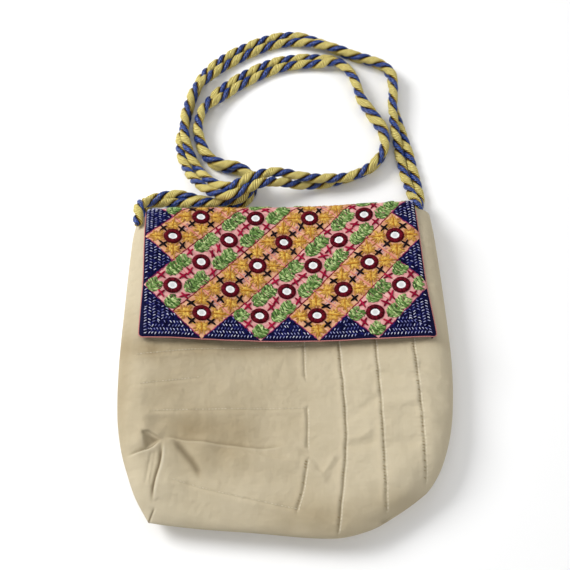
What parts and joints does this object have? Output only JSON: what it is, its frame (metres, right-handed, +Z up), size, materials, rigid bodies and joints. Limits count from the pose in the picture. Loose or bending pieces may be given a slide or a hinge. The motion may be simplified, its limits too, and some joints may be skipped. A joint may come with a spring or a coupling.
{
  "type": "sling bag",
  "caption": "Quilted cotton sling bag with an embroidered flap set with small round mirrors and a shoulder strap of twisted ropes, lying on its back.",
  "frame": {"origin": "middle of the bag's outline, on the surface under its back panel, strap left out", "axes": "+X across the bag to the right of the flap, +Y from its bottom to its mouth, +Z up from the surface it lies on"},
  "size_m": [0.2589, 0.4905, 0.041],
  "materials": {
    "cotton": "matte woven cotton, quilted",
    "embroidery": "dense thread embroidery",
    "piping": "thin covered cord",
    "collar_thread": "buttonhole stitches in silky thread",
    "mirror_glass": "small flat mirror",
    "rope_yarn": "two twisted strands, matte yellow and glossy blue"
  },
  "bodies": {
    "root": {"front_panel": "cotton", "back_panel": "cotton", "flap": "embroidery", "flap_piping": "piping", "strap_rope_a": "rope_yarn", "strap_rope_b": "rope_yarn", "mirror_01": "mirror_glass", "mirror_02": "mirror_glass", "mirror_03": "mirror_glass", "mirror_04": "mirror_glass", "mirror_05": "mirror_glass", "mirror_06": "mirror_glass", "mirror_07": "mirror_glass", "mirror_08": "mirror_glass", "mirror_09": "mirror_glass", "mirror_10": "mirror_glass", "mirror_11": "mirror_glass", "mirror_12": "mirror_glass", "mirror_13": "mirror_glass", "mirror_14": "mirror_glass", "mirror_15": "mirror_glass", "mirror_16": "mirror_glass", "mirror_17": "mirror_glass", "mirror_18": "mirror_glass", "mirror_19": "mirror_glass", "mirror_20": "mirror_glass", "mirror_21": "mirror_glass", "mirror_22": "mirror_glass", "mirror_collar_01": "collar_thread", "mirror_collar_02": "collar_thread", "mirror_collar_03": "collar_thread", "mirror_collar_04": "collar_thread", "mirror_collar_05": "collar_thread", "mirror_collar_06": "collar_thread", "mirror_collar_07": "collar_thread", "mirror_collar_08": "collar_thread", "mirror_collar_09": "collar_thread", "mirror_collar_10": "collar_thread", "mirror_collar_11": "collar_thread", "mirror_collar_12": "collar_thread", "mirror_collar_13": "collar_thread", "mirror_collar_14": "collar_thread", "mirror_collar_15": "collar_thread", "mirror_collar_16": "collar_thread", "mirror_collar_17": "collar_thread", "mirror_collar_18": "collar_thread", "mirror_collar_19": "collar_thread", "mirror_collar_20": "collar_thread", "mirror_collar_21": "collar_thread", "mirror_collar_22": "collar_thread"}
  },
  "joints": []
}
